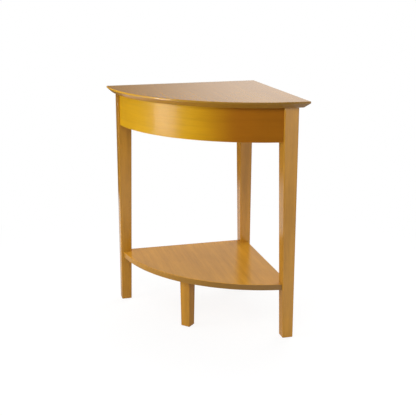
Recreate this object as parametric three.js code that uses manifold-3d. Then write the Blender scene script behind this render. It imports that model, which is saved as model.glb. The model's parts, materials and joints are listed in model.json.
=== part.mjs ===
// A quarter-round corner table. Three tapered legs stand at the corners of a quarter circle, aprons
// join them, the front one bowed, and a top with an undercut edge covers them. A shelf notched round
// the legs has a short fourth leg under the middle of its bowed edge.
// Lengths are in millimetres and +Z is up. In plan, places are counted from the wall corner, where the
// back leg stands, and the group then brings the middle of the table to the origin.

import * as THREE from 'three';
import { mergeVertices } from 'three/addons/utils/BufferGeometryUtils.js';
import Module from 'manifold-3d';

const wasm = await Module();
wasm.setup();

// Whole table
const tableWidth = 510.03; // 20.08 in along the back wall
const tableDepth = 509.52; // 20.06 in along the side wall
const tableHeight = 735.08; // 28.94 in to the top face
const fitGap = 0.3; // between pieces that seat on each other
const cutOverrun = 6; // how far a cutter runs past the face that it opens

// Top board
const topThickness = 19;
const noseHeight = 5.5; // upright band of the edge, above the undercut
const undercutRun = 15; // how far the underside stands in from the nose
const topArris = 1.5; // rounding of the upper edge

// Long legs
const legInset = 25; // from the top's edge to the legs' outer faces
const legSquare = 44;
const legFootSquare = 33;
const legArris = 2.2; // rounding of the four long edges
const footChamfer = 1.2;
const legFlat = 7; // depth of the flat across the inner arris, where the hanger bolt enters

// Aprons
const apronHeight = 102;
const apronSetback = 6; // from the legs' outer faces to the straight aprons' outer faces
const bowInset = 26; // from the top's bowed edge to the bowed apron's outer face
const bowThickness = 15;
const apronThickness = 18;
const apronArris = 1.5;

// Shelf
const shelfHeight = 174.5; // floor to its upper face
const shelfThickness = 18;
const shelfBowInset = 30; // from the top's bowed edge to the shelf's
const shelfEdgeInset = 35; // from the top's straight edges to the shelf's
const shelfArris = 1.5;

// Short front leg
const frontLegSquare = 35;
const frontLegFootSquare = 31;
const frontLegSetback = 15; // from the shelf's bowed edge to the leg's outer face

// Glides
const glideHeight = 2;
const glideRadius = 9;
const glideRim = 0.6;
const glideNailRadius = 1.2;
const glideNailLength = 14;

// Corner blocks and front cleat
const blockHeight = 56;
const blockThickness = 22; // along the diagonal
const blockStandoff = 6; // from the leg's inner arris to the block
const cleatWidth = 84;
const cleatThickness = 22;
const cleatHeight = 34;

// Pan-head screws
const screwShankRadius = 2;
const screwHeadRadius = 4;
const screwHeadHeight = 2;
const screwTaper = 4; // length of the pointed end
const topScrewSeat = 24; // wood left under the head in a block or the cleat
const topScrewBite = 12; // how far the screw enters the top
const blockTopScrewSpread = 16; // either side of a block's middle
const cleatTopScrewSpread = 30;
const apronScrewSeat = 10;
const apronScrewBite = 9;
const cleatScrewSpread = 13;

// Hanger bolts, one in each long leg
const hangerRadius = 4;
const hangerInLeg = 30;
const hangerStandout = 5; // thread showing past the nut
const hangerTaper = 5;
const washerRadius = 9;
const washerThickness = 1.6;
const nutAcrossFlats = 13;
const nutHeight = 6.5;

// Shelf bolts and barrel nuts
const shelfBoltRadius = 3;
const shelfBoltHeadRadius = 7.5;
const shelfBoltHeadHeight = 2.4;
const shelfBoltInset = 10; // from the leg's inner face to the bolt's axis
const shelfBoltEnd = 2; // bolt showing past the barrel nut
const barrelRadius = 5;
const barrelLength = 12;
const barrelReach = 21; // from the leg to the barrel nut's axis

// Short leg's fixings
const insertRadius = 5.5;
const insertHeight = 12;
const legBoltRadius = 3;
const legBoltInInsert = 10;
const legBoltInLeg = 30;
const dowelRadius = 3;
const dowelLength = 22;
const dowelOffset = 11; // from the bolt's axis
const dowelChamfer = 0.8;

// Faces on round work, as counts
const bowSteps = 72;
const arrisSteps = 3;
const rodSides = 12;

// Heights that follow from the sizes above
const topUnderside = tableHeight - topThickness;
const frameTop = topUnderside - fitGap;
const apronBottom = frameTop - apronHeight;
const shelfUnderside = shelfHeight - shelfThickness;
const shelfMiddle = shelfHeight - shelfThickness / 2;
const footLevel = glideHeight + fitGap;
const blockBottom = frameTop - blockHeight;
const blockMiddle = frameTop - blockHeight / 2;
const cleatBottom = frameTop - cleatHeight;
const cleatMiddle = frameTop - cleatHeight / 2;

// Plan sizes that follow, counted from the top's edge
const legReach = legInset + legSquare; // to a long leg's inner faces, above the taper
const frameReach = legReach + fitGap; // to the apron ends
const notchReach = legInset + legSizeAt(shelfHeight) + fitGap; // to the shelf's notch faces
const wallFace = legInset + apronSetback; // to a straight apron's outer face
const coreReach = wallFace + apronThickness + fitGap; // to what stands against a straight apron
const coreInset = bowInset + bowThickness + fitGap; // to what stands against the bowed apron

// Diagonal distances that follow, from a corner of the plan
const legArrisDiagonal = legReach * Math.SQRT2; // to a long leg's inner arris
const blockStart = legArrisDiagonal + blockStandoff;
const blockEnd = blockStart + blockThickness;
const cleatEnd = bowDiagonal(coreInset);
const cleatStart = cleatEnd - cleatThickness;
const frontLegDiagonal = bowDiagonal(shelfBowInset) - frontLegSetback - frontLegSquare / 2;

const honey = { color: 0xc8934a, roughness: 0.35, metalness: 0 };
const bareWood = { color: 0xd9bd8f, roughness: 0.7, metalness: 0 };
const beech = { color: 0xd8b58a, roughness: 0.75, metalness: 0 };
const zincSteel = { color: 0xb9bcc0, roughness: 0.35, metalness: 0.9 };
const nylon = { color: 0x6b5d4c, roughness: 0.55, metalness: 0 };

const up = new THREE.Vector3(0, 0, 1);
const latheAxis = new THREE.Vector3(0, 1, 0);
const halves = [
  ['a', -1],
  ['b', 1],
];

// Width of a long leg at a height: square beside the aprons, then tapering to the foot.
function legSizeAt(height) {
  const fall = Math.max(0, apronBottom - height) / (apronBottom - footLevel);
  return legSquare - (legSquare - legFootSquare) * fall;
}

// A point of the bowed line that lies inside the top's edge by inset: a quarter ellipse round the wall
// corner, from the left tip at angle 0 to the right tip at a quarter turn.
function bowPoint(inset, angle) {
  const across = (tableWidth - inset) * Math.cos(angle);
  const out = (tableDepth - inset) * Math.sin(angle);
  return new THREE.Vector2(-across, -out);
}

// How far the bowed line at inset lies from the wall corner, along the diagonal.
function bowDiagonal(inset) {
  return Math.SQRT2 / Math.hypot(1 / (tableWidth - inset), 1 / (tableDepth - inset));
}

// The bowed line at inset, from left to right, ending at reach from each straight edge of the top.
function bowLine(inset, reach) {
  const first = Math.asin(reach / (tableDepth - inset));
  const last = Math.acos(reach / (tableWidth - inset));
  const line = [];
  for (let i = 0; i <= bowSteps; i++) {
    line.push(bowPoint(inset, first + ((last - first) * i) / bowSteps));
  }
  return line;
}

// A flat outline lifted to a height.
function lifted(outline, height) {
  return outline.map((p) => new THREE.Vector3(p.x, p.y, height));
}

// The quarter-round outline with its bow at inset and its straight sides at reach, counterclockwise.
function quarterRing(inset, reach, height) {
  return lifted([new THREE.Vector2(-reach, -reach), ...bowLine(inset, reach)], height);
}

// A quarter circle of an arris as [inset, drop] pairs, from the flat face round to the edge.
function arris(radius) {
  const steps = [];
  for (let i = 0; i <= arrisSteps; i++) {
    const angle = ((i / arrisSteps) * Math.PI) / 2;
    steps.push([radius * (1 - Math.sin(angle)), radius * (1 - Math.cos(angle))]);
  }
  return steps;
}

// A rectangle with rounded corners, counterclockwise.
function softRectangle(x0, y0, x1, y1, radius) {
  const centres = [
    [x1 - radius, y0 + radius, -Math.PI / 2],
    [x1 - radius, y1 - radius, 0],
    [x0 + radius, y1 - radius, Math.PI / 2],
    [x0 + radius, y0 + radius, Math.PI],
  ];
  const outline = [];
  for (const [x, y, start] of centres) {
    for (let i = 0; i <= arrisSteps; i++) {
      const angle = start + ((i / arrisSteps) * Math.PI) / 2;
      outline.push(new THREE.Vector2(x + radius * Math.cos(angle), y + radius * Math.sin(angle)));
    }
  }
  return outline;
}

// A closed body through rings of equal count. Looking back from where the rings lead, each one runs
// counterclockwise. The first and last rings are flat and convex, and close the ends.
function skin(rings) {
  const count = rings[0].length;
  const last = (rings.length - 1) * count;
  const index = [];
  for (let ring = 0; ring + 1 < rings.length; ring++) {
    for (let i = 0; i < count; i++) {
      const a = ring * count + i;
      const b = ring * count + ((i + 1) % count);
      index.push(a, b, b + count, a, b + count, a + count);
    }
  }
  for (let i = 1; i + 1 < count; i++) {
    index.push(0, i + 1, i, last, last + i, last + i + 1);
  }
  const geometry = new THREE.BufferGeometry();
  geometry.setFromPoints(rings.flat());
  geometry.setIndex(index);
  return geometry;
}

// A closed geometry as a solid that can be cut and joined.
function solidOf(geometry) {
  const bare = geometry.clone();
  bare.deleteAttribute('normal');
  bare.deleteAttribute('uv');
  const merged = mergeVertices(bare);
  return new wasm.Manifold(
    new wasm.Mesh({
      numProp: 3,
      vertProperties: merged.attributes.position.array,
      triVerts: new Uint32Array(merged.index.array),
    })
  );
}

// A solid as a geometry again.
function geometryOf(solid) {
  const mesh = solid.getMesh();
  const geometry = new THREE.BufferGeometry();
  geometry.setAttribute('position', new THREE.BufferAttribute(mesh.vertProperties, 3));
  geometry.setIndex(new THREE.BufferAttribute(mesh.triVerts, 1));
  geometry.computeVertexNormals();
  return geometry;
}

// A round bar between two points.
function roundBar(radius, from, to) {
  const direction = to.clone().sub(from);
  const length = direction.length();
  const bar = new THREE.CylinderGeometry(radius, radius, length, rodSides);
  bar.translate(0, length / 2, 0);
  bar.applyQuaternion(new THREE.Quaternion().setFromUnitVectors(latheAxis, direction.normalize()));
  bar.translate(from.x, from.y, from.z);
  return solidOf(bar);
}

// An upright box between two opposite corners.
function boxBetween(a, b) {
  const box = new THREE.Box3().setFromPoints([a, b]);
  const size = box.getSize(new THREE.Vector3());
  const middle = box.getCenter(new THREE.Vector3());
  return solidOf(new THREE.BoxGeometry(size.x, size.y, size.z).translate(middle.x, middle.y, middle.z));
}

// A corner of the plan. A place near it is given by its distances from that corner, across along X and
// out along Y, both counted into the table.
class Corner {
  constructor(name, x, y, alongX, alongY) {
    this.name = name;
    this.x = x;
    this.y = y;
    this.alongX = alongX;
    this.alongY = alongY;
    this.inward = new THREE.Vector3(alongX, alongY, 0).normalize();
    this.sideways = new THREE.Vector3(alongX, -alongY, 0).normalize();
  }

  at(across, out, height) {
    return new THREE.Vector3(this.x + this.alongX * across, this.y + this.alongY * out, height);
  }

  // A point by its distance from the corner along the diagonal and its offset to one side of it.
  onDiagonal(distance, offset, height) {
    return new THREE.Vector3(this.x, this.y, height)
      .addScaledVector(this.inward, distance)
      .addScaledVector(this.sideways, offset);
  }

  // A ring of a square column that stands between two distances from both edges.
  column(near, far, height) {
    const a = this.at(near, near, height);
    const b = this.at(far, far, height);
    const low = a.clone().min(b);
    const high = a.clone().max(b);
    return lifted(softRectangle(low.x, low.y, high.x, high.y, legArris), height);
  }

  // An upright block across the diagonal.
  diagonalBlock(start, end, width, low, high) {
    const block = new THREE.BoxGeometry(width, end - start, high - low);
    block.applyQuaternion(new THREE.Quaternion().setFromUnitVectors(latheAxis, this.inward));
    const middle = this.onDiagonal((start + end) / 2, 0, (low + high) / 2);
    block.translate(middle.x, middle.y, middle.z);
    return solidOf(block);
  }
}

const backCorner = new Corner('back', 0, 0, -1, -1);
const leftCorner = new Corner('left', -tableWidth, 0, 1, -1);
const rightCorner = new Corner('right', 0, -tableDepth, -1, 1);
const corners = [leftCorner, rightCorner, backCorner];

// The top: its rings climb from the underside, out over the undercut, up the nose and in over the arris.
function topBoard() {
  const rings = [
    quarterRing(undercutRun, undercutRun, topUnderside),
    quarterRing(0, 0, tableHeight - noseHeight),
  ];
  for (const [inset, drop] of arris(topArris).reverse()) {
    rings.push(quarterRing(inset, inset, tableHeight - drop));
  }
  return solidOf(skin(rings));
}

// A long leg: its outer faces stay upright and its inner faces draw in below the aprons. Beside the
// corner block, its inner arris is planed flat.
function longLeg(corner) {
  const column = skin([
    corner.column(legInset + footChamfer, legInset + legFootSquare - footChamfer, footLevel),
    corner.column(legInset, legInset + legSizeAt(footLevel + footChamfer), footLevel + footChamfer),
    corner.column(legInset, legReach, apronBottom),
    corner.column(legInset, legReach, frameTop),
  ]);
  const flatStart = legArrisDiagonal - legFlat;
  const flatWidth = 2 * legFlat + cutOverrun;
  const flat = corner.diagonalBlock(flatStart, blockStart, flatWidth, blockBottom, frameTop + cutOverrun);
  return solidOf(column).subtract(flat);
}

// The bowed apron: its section is carried along the bow, and its ends are cut to meet the legs' faces.
function bowedApron() {
  const section = softRectangle(0, apronBottom, bowThickness, frameTop, apronArris);
  const lines = section.map((p) => bowLine(bowInset + p.x, frameReach));
  const rings = [];
  for (let i = 0; i <= bowSteps; i++) {
    rings.push(section.map((p, k) => new THREE.Vector3(lines[k][i].x, lines[k][i].y, p.y)));
  }
  return solidOf(skin(rings));
}

// Section of a straight apron, as distance from the wall corner and height
function straightSection() {
  return softRectangle(-wallFace - apronThickness, apronBottom, -wallFace, frameTop, apronArris);
}

function backApron() {
  const ringAt = (x) => straightSection().map((p) => new THREE.Vector3(x, p.x, p.y));
  return solidOf(skin([ringAt(frameReach - tableWidth), ringAt(-frameReach)]));
}

function sideApron() {
  const ringAt = (y) => straightSection().map((p) => new THREE.Vector3(p.x, y, p.y));
  return solidOf(skin([ringAt(-frameReach), ringAt(frameReach - tableDepth)]));
}

// The shelf: a quarter-round board with both arrises rounded and a square notch round each leg.
function shelfBoard() {
  const edge = arris(shelfArris);
  const under = edge.map(([inset, drop]) =>
    quarterRing(shelfBowInset + inset, shelfEdgeInset + inset, shelfUnderside + drop)
  );
  const over = edge.map(([inset, drop]) =>
    quarterRing(shelfBowInset + inset, shelfEdgeInset + inset, shelfHeight - drop)
  );
  let board = solidOf(skin([...under, ...over.reverse()]));
  for (const corner of corners) {
    const low = corner.at(-cutOverrun, -cutOverrun, shelfUnderside - cutOverrun);
    const high = corner.at(notchReach, notchReach, shelfHeight + cutOverrun);
    board = board.subtract(boxBetween(low, high));
  }
  return board;
}

// The short leg stands square to the diagonal and tapers on all four sides.
function frontLeg() {
  const ringAt = (size, height) =>
    lifted(softRectangle(-size / 2, -size / 2, size / 2, size / 2, legArris), height);
  const column = skin([
    ringAt(frontLegFootSquare - 2 * footChamfer, footLevel),
    ringAt(frontLegFootSquare, footLevel + footChamfer),
    ringAt(frontLegSquare, shelfUnderside - fitGap),
  ]);
  const middle = backCorner.onDiagonal(frontLegDiagonal, 0, 0);
  column.rotateZ(Math.PI / 4);
  column.translate(middle.x, middle.y, middle.z);
  return solidOf(column);
}

// What may stand inside the aprons, between two heights.
function frameCore(low, high) {
  return solidOf(skin([quarterRing(coreInset, coreReach, low), quarterRing(coreInset, coreReach, high)]));
}

// A corner block stands across the diagonal behind a leg, with its ends shaped to the aprons.
function cornerBlock(corner) {
  const block = corner.diagonalBlock(blockStart, blockEnd, 2 * blockEnd, blockBottom, frameTop);
  return block.intersect(frameCore(blockBottom, frameTop));
}

// The cleat stands behind the middle of the bowed apron, shaped to it.
function frontCleat() {
  const block = backCorner.diagonalBlock(
    cleatStart,
    cleatEnd + cutOverrun,
    cleatWidth,
    cleatBottom,
    frameTop
  );
  return block.intersect(frameCore(cleatBottom, frameTop));
}

// Wooden pieces, kept as solids by name until every fixing has been bored into them
const wood = {
  top_board: topBoard(),
  bowed_apron: bowedApron(),
  back_apron: backApron(),
  side_apron: sideApron(),
  shelf: shelfBoard(),
  front_leg: frontLeg(),
  front_cleat: frontCleat(),
};
for (const corner of corners) {
  wood[`${corner.name}_leg`] = longLeg(corner);
  wood[`${corner.name}_block`] = cornerBlock(corner);
}

// A hole in the wooden pieces named, from one point to another, with room round what goes in.
function bore(names, radius, from, to) {
  const tool = roundBar(radius + fitGap, from, to);
  for (const name of names) {
    wood[name] = wood[name].subtract(tool);
  }
}

// The table, with the middle of its plan at the origin
const table = new THREE.Group();
table.position.set(tableWidth / 2, tableDepth / 2, 0);

function add(name, geometry, finish, position = new THREE.Vector3(), direction = latheAxis) {
  const mesh = new THREE.Mesh(geometry, new THREE.MeshStandardMaterial(finish));
  mesh.name = name;
  mesh.position.copy(position);
  mesh.quaternion.setFromUnitVectors(latheAxis, direction);
  table.add(mesh);
}

// A turned geometry, from [radius, distance along the axis] pairs.
function turned(profile) {
  const points = profile.map(([radius, distance]) => new THREE.Vector2(radius, distance));
  return new THREE.LatheGeometry(points, rodSides);
}

// A pan head under a shank's start, as the first points of a turned profile.
function panHead(radius, height) {
  return [
    [0, -height],
    [radius * Math.SQRT1_2, -height],
    [radius, -height / 2],
    [radius, 0],
  ];
}

// A screw whose head seats on a floor point. It is bored through the carrier and into the piece held,
// and its recess opens the carrier behind the head.
function screw(name, carrier, held, floor, direction, seat, bite, recess) {
  const length = seat + bite;
  const along = (distance) => floor.clone().addScaledVector(direction, distance);
  bore([carrier, held], screwShankRadius, along(-cutOverrun), along(length));
  bore([carrier], screwHeadRadius + fitGap, along(-recess), floor);
  const shank = turned([
    ...panHead(screwHeadRadius, screwHeadHeight),
    [screwShankRadius, 0],
    [screwShankRadius, length - screwTaper],
    [0, length],
  ]);
  add(name, shank, zincSteel, along(-fitGap), direction);
}

// Two screws up through a carrier into the top.
function topScrews(carrier, corner, diagonal, spread, carrierHeight) {
  for (const [half, sign] of halves) {
    const floor = corner.onDiagonal(diagonal, sign * spread, frameTop - topScrewSeat);
    const name = `${carrier}_top_screw_${half}`;
    screw(name, carrier, 'top_board', floor, up, topScrewSeat, topScrewBite, carrierHeight);
  }
}

// How far the inner core's bowed side lies in from the tip of the axis that spans the first size, at a
// place along the other axis.
function coreBow(span, otherSpan, place) {
  const share = place / (otherSpan - coreInset);
  return span - (span - coreInset) * Math.sqrt(1 - share * share);
}

// Screws from a corner block's two ends into its aprons, where the block leaves room for the head.
function blockScrews(corner) {
  const carrier = `${corner.name}_block`;
  const place = ((blockStart + blockEnd) * Math.SQRT2 - apronScrewSeat) / 2 - coreReach;
  const outBowed = corner === rightCorner;
  const acrossBowed = corner === leftCorner;
  const outFace = outBowed ? coreBow(tableDepth, tableWidth, place) : coreReach;
  const acrossFace = acrossBowed ? coreBow(tableWidth, tableDepth, place) : coreReach;
  const sides = [
    {
      apron: outBowed ? 'bowed_apron' : 'back_apron',
      floor: corner.at(place, outFace + apronScrewSeat, blockMiddle),
      direction: new THREE.Vector3(0, -corner.alongY, 0),
    },
    {
      apron: acrossBowed ? 'bowed_apron' : 'side_apron',
      floor: corner.at(acrossFace + apronScrewSeat, place, blockMiddle),
      direction: new THREE.Vector3(-corner.alongX, 0, 0),
    },
  ];
  for (const { apron, floor, direction } of sides) {
    const name = `${carrier}_${apron}_screw`;
    screw(name, carrier, apron, floor, direction, apronScrewSeat, apronScrewBite, blockThickness);
  }
}

// Screws through the cleat into the bowed apron.
function cleatScrews() {
  for (const [half, sign] of halves) {
    const floor = backCorner.onDiagonal(cleatEnd - apronScrewSeat, sign * cleatScrewSpread, cleatMiddle);
    const name = `front_cleat_screw_${half}`;
    const direction = backCorner.inward;
    screw(name, 'front_cleat', 'bowed_apron', floor, direction, apronScrewSeat, apronScrewBite, cleatThickness);
  }
}

// A hexagon nut with its bore, standing on the lathe axis.
function hexNut(acrossFlats, height, boreRadius) {
  const cornerRadius = acrossFlats / Math.sqrt(3);
  const hexagon = new THREE.CylinderGeometry(cornerRadius, cornerRadius, height, 6);
  hexagon.translate(0, height / 2, 0);
  const hole = roundBar(
    boreRadius,
    new THREE.Vector3(0, -cutOverrun, 0),
    new THREE.Vector3(0, height + cutOverrun, 0)
  );
  return geometryOf(solidOf(hexagon).subtract(hole));
}

// A flat ring, standing on the lathe axis.
function flatRing(outerRadius, innerRadius, thickness) {
  return turned([
    [innerRadius, 0],
    [outerRadius, 0],
    [outerRadius, thickness],
    [innerRadius, thickness],
    [innerRadius, 0],
  ]);
}

// A hanger bolt: its pointed end is in the leg's flat, and a washer and nut draw it against the block.
function hangerBolt(corner) {
  const start = legArrisDiagonal - legFlat - hangerInLeg;
  const washerPlace = blockEnd + fitGap;
  const nutPlace = washerPlace + washerThickness + fitGap;
  const length = nutPlace + nutHeight + hangerStandout - start;
  const place = (distance) => corner.onDiagonal(distance, 0, blockMiddle);
  bore([`${corner.name}_leg`, `${corner.name}_block`], hangerRadius, place(start), place(start + length));
  const bolt = turned([
    [0, 0],
    [hangerRadius, hangerTaper],
    [hangerRadius, length],
    [0, length],
  ]);
  const washer = flatRing(washerRadius, hangerRadius + fitGap, washerThickness);
  const nut = hexNut(nutAcrossFlats, nutHeight, hangerRadius + fitGap);
  add(`${corner.name}_hanger_bolt`, bolt, zincSteel, place(start), corner.inward);
  add(`${corner.name}_hanger_washer`, washer, zincSteel, place(washerPlace), corner.inward);
  add(`${corner.name}_hanger_nut`, nut, zincSteel, place(nutPlace), corner.inward);
}

// A shelf bolt goes through a leg from its wall side, into a barrel nut let into the shelf from below.
function shelfBolt(corner) {
  const alongX = corner === rightCorner;
  const side = legInset + legSizeAt(shelfMiddle) - shelfBoltInset;
  const placeAt = (reach, height) => (alongX ? corner.at(reach, side, height) : corner.at(side, reach, height));
  const direction = placeAt(legReach, 0).sub(placeAt(legInset, 0)).normalize();
  const barrelPlace = notchReach + barrelReach;
  const boltEnd = barrelPlace + barrelRadius + shelfBoltEnd;
  const length = boltEnd - legInset;
  const outside = placeAt(legInset - cutOverrun, shelfMiddle);
  bore([`${corner.name}_leg`, 'shelf'], shelfBoltRadius, outside, placeAt(boltEnd, shelfMiddle));
  const bolt = turned([
    ...panHead(shelfBoltHeadRadius, shelfBoltHeadHeight),
    [shelfBoltRadius, 0],
    [shelfBoltRadius, length],
    [0, length],
  ]);
  add(`${corner.name}_shelf_bolt`, bolt, zincSteel, placeAt(legInset - fitGap, shelfMiddle), direction);

  const barrelBottom = shelfMiddle - barrelLength / 2;
  const barrelTop = barrelBottom + barrelLength;
  const holeMouth = placeAt(barrelPlace, shelfUnderside - cutOverrun);
  bore(['shelf'], barrelRadius, holeMouth, placeAt(barrelPlace, barrelTop + fitGap));
  const barrel = roundBar(barrelRadius, placeAt(barrelPlace, barrelBottom), placeAt(barrelPlace, barrelTop));
  const thread = roundBar(shelfBoltRadius + fitGap, outside, placeAt(boltEnd, shelfMiddle));
  add(`${corner.name}_barrel_nut`, geometryOf(barrel.subtract(thread)), zincSteel);
}

// The short leg hangs on a bolt in a threaded insert, and a dowel keeps it from turning.
function frontLegFixings() {
  const boltBottom = shelfUnderside - legBoltInLeg;
  const boltLength = legBoltInLeg + legBoltInInsert;
  const place = (offset, height) => backCorner.onDiagonal(frontLegDiagonal - offset, 0, height);
  const insertTop = place(0, shelfUnderside + insertHeight + fitGap);
  bore(['shelf'], insertRadius, place(0, shelfUnderside - cutOverrun), insertTop);
  bore(['front_leg'], legBoltRadius, place(0, boltBottom - fitGap), insertTop);
  const insert = flatRing(insertRadius, legBoltRadius + fitGap, insertHeight);
  const bolt = turned([
    [0, 0],
    [legBoltRadius, hangerTaper],
    [legBoltRadius, boltLength],
    [0, boltLength],
  ]);
  add('front_leg_insert', insert, zincSteel, place(0, shelfUnderside), up);
  add('front_leg_bolt', bolt, zincSteel, place(0, boltBottom), up);

  const dowelBottom = shelfUnderside - dowelLength / 2;
  const holeTop = place(dowelOffset, dowelBottom + dowelLength + fitGap);
  bore(['front_leg', 'shelf'], dowelRadius, place(dowelOffset, dowelBottom - fitGap), holeTop);
  const dowel = turned([
    [0, 0],
    [dowelRadius - dowelChamfer, 0],
    [dowelRadius, dowelChamfer],
    [dowelRadius, dowelLength - dowelChamfer],
    [dowelRadius - dowelChamfer, dowelLength],
    [0, dowelLength],
  ]);
  add('front_leg_dowel', dowel, beech, place(dowelOffset, dowelBottom), up);
}

// A nail-on glide under the middle of a foot.
function glide(leg, middle) {
  const nailTop = glideHeight + glideNailLength;
  bore([leg], glideNailRadius, middle, middle.clone().setZ(nailTop + fitGap));
  const profile = turned([
    [0, 0],
    [glideRadius - glideRim, 0],
    [glideRadius, glideRim],
    [glideRadius, glideHeight],
    [glideNailRadius, glideHeight],
    [0, nailTop],
  ]);
  add(`${leg}_glide`, profile, nylon, middle, up);
}

const footMiddle = legInset + legFootSquare / 2;
for (const corner of corners) {
  topScrews(`${corner.name}_block`, corner, (blockStart + blockEnd) / 2, blockTopScrewSpread, blockHeight);
  blockScrews(corner);
  hangerBolt(corner);
  shelfBolt(corner);
  glide(`${corner.name}_leg`, corner.at(footMiddle, footMiddle, 0));
}
topScrews('front_cleat', backCorner, (cleatStart + cleatEnd) / 2, cleatTopScrewSpread, cleatHeight);
cleatScrews();
frontLegFixings();
glide('front_leg', backCorner.onDiagonal(frontLegDiagonal, 0, 0));

for (const [name, solid] of Object.entries(wood)) {
  const bare = name.endsWith('_block') || name === 'front_cleat';
  add(name, geometryOf(solid), bare ? bareWood : honey);
}

export default table;
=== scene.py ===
import json
import math

import bmesh
import bpy
import numpy as np
from bpy.props import FloatProperty, FloatVectorProperty, PointerProperty
from bpy.types import Operator, Panel, PropertyGroup
from mathutils import Matrix, Vector


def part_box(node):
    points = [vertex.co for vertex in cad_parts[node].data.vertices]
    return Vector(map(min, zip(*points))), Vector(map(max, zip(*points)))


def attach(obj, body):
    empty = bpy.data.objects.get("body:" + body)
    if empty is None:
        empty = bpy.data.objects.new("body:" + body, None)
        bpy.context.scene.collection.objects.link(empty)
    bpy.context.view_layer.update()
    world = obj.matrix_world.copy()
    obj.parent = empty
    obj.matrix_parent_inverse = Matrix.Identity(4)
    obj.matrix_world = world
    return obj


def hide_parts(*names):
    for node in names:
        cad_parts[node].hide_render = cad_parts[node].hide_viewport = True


bl_info = {
    "name": "Corner Table",
    "version": (1, 0, 0),
    "blender": (4, 5, 0),
    "location": "3D View > Sidebar > Corner Table",
    "description": "A quarter-round corner table with a bowed apron, tapered legs and a low shelf",
    "category": "Add Mesh",
}

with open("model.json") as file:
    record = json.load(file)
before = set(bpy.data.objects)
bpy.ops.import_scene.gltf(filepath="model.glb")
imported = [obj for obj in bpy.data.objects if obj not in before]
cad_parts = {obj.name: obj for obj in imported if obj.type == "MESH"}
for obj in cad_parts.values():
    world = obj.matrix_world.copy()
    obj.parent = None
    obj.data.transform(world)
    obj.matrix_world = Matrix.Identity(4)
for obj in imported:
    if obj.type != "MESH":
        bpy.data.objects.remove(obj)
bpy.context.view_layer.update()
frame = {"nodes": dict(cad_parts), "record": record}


# What the solid model says

def solid_points(node):
    """The corner points of a solid, as an array of rows x, y, z."""
    mesh = frame["nodes"][node].data
    flat = np.empty(len(mesh.vertices) * 3)
    mesh.vertices.foreach_get("co", flat)
    return flat.reshape(-1, 3)


def solid_axis(node, direction):
    """Where a turned solid starts on its axis, and how long it is, along its direction. The axis lies
    midway between the solid's outermost points on either side."""
    points = solid_points(node)
    along = points @ direction
    side = np.cross(direction, (0.0, 0.0, 1.0) if abs(direction[2]) < 0.5 else (1.0, 0.0, 0.0))
    across = np.stack([side, np.cross(direction, side)])
    offset = points @ across.T
    middle = (offset.min(0) + offset.max(0)) / 2
    return middle @ across + along.min() * direction, along.max() - along.min()


top_low, top_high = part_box("top_board")
leg_low, leg_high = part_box("left_leg")
bow_low, bow_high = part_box("bowed_apron")
shelf_low, shelf_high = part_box("shelf")
front_leg_low, front_leg_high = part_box("front_leg")

# From a rounded edge to the row of points that keeps the face beside it flat, and the same beside the
# long edges of the legs and aprons.
REACH = 0.003
SHORT_REACH = 0.0015


def length(name, description, default):
    """A size in metres, shown in the scene's unit."""
    return FloatProperty(
        name=name, description=description, default=default, min=0.0, unit="LENGTH", precision=4
    )


def power(name, description, default):
    """The power of a lamp, in watts."""
    return FloatProperty(name=name, description=description, default=default, min=0.0, unit="POWER")


def colour(name, description, default):
    """A colour in linear red, green and blue."""
    return FloatVectorProperty(
        name=name, description=description, default=default, size=3, min=0.0, max=1.0, subtype="COLOR"
    )


class TableSizes(PropertyGroup):
    """Sizes of the wooden pieces, in metres."""

    width: length("Width", "Along the back wall", top_high.x - top_low.x)
    depth: length("Depth", "Along the side wall", top_high.y - top_low.y)
    height: length("Height", "From the floor to the upper face of the top", top_high.z)
    top_thickness: length("Top thickness", "Thickness of the top", top_high.z - top_low.z)
    nose: length("Nose", "Height of the upright band round the top's edge", 0.0055)
    undercut: length("Undercut", "How far the top's underside stands in from its edge", 0.015)
    edge: length("Edge", "Rounding of the top's upper edge and the shelf's edges", 0.0015)
    tip: length("Tip", "Rounding of the top's upright corners", 0.0014)
    leg_inset: length("Leg inset", "From the top's edge to the legs", leg_low.x - top_low.x)
    leg_width: length("Leg width", "Width of a long leg beside the aprons", leg_high.x - leg_low.x)
    foot_width: length("Foot width", "Width of a long leg at the floor", 0.033)
    leg_edge: length("Leg edge", "Rounding of the legs' long edges", 0.0022)
    foot_edge: length("Foot edge", "Rounding round the feet", 0.0012)
    leg_flat: length("Leg flat", "Depth of the flat beside a corner block", 0.007)
    block_height: length("Block height", "Height of a corner block", 0.056)
    apron_edge: length("Apron edge", "Rounding of the aprons' long edges", 0.0015)
    bow_inset: length("Bow inset", "From the top's bowed edge to the bowed apron", 0.026)
    bow_thickness: length("Bow thickness", "Thickness of the bowed apron", 0.015)
    shelf_bow_inset: length("Shelf bow inset", "From the top's bowed edge to the shelf's", 0.030)
    front_leg_width: length("Front leg width", "Width of the short leg under the shelf", 0.035)
    front_foot_width: length("Front foot width", "Width of the short leg at the floor", 0.031)
    fit: length("Fit", "Room between pieces that seat on each other", 0.0003)


class TableFinishes(PropertyGroup):
    """Colours of the finishes."""

    honey: colour("Honey wood", "Legs, top, shelf and straight aprons", (0.46, 0.212, 0.018))
    veneer: colour("Bent veneer", "The bowed apron's veneer, at its left end", (0.545, 0.27, 0.003))
    # The deep colour is painted shade, for the apron's right end, which turns from the key light.
    veneer_painted_shade: colour("Bent veneer, deep", "The same veneer, at its right end", (0.285, 0.080, 0.002))
    bare: colour("Bare wood", "Corner blocks and cleat", (0.62, 0.44, 0.23))
    beech: colour("Beech", "Dowel", (0.66, 0.46, 0.25))
    zinc: colour("Zinc", "Screws, bolts and nuts", (0.62, 0.63, 0.65))
    nylon: colour("Nylon", "Glides under the feet", (0.12, 0.085, 0.055))


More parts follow.
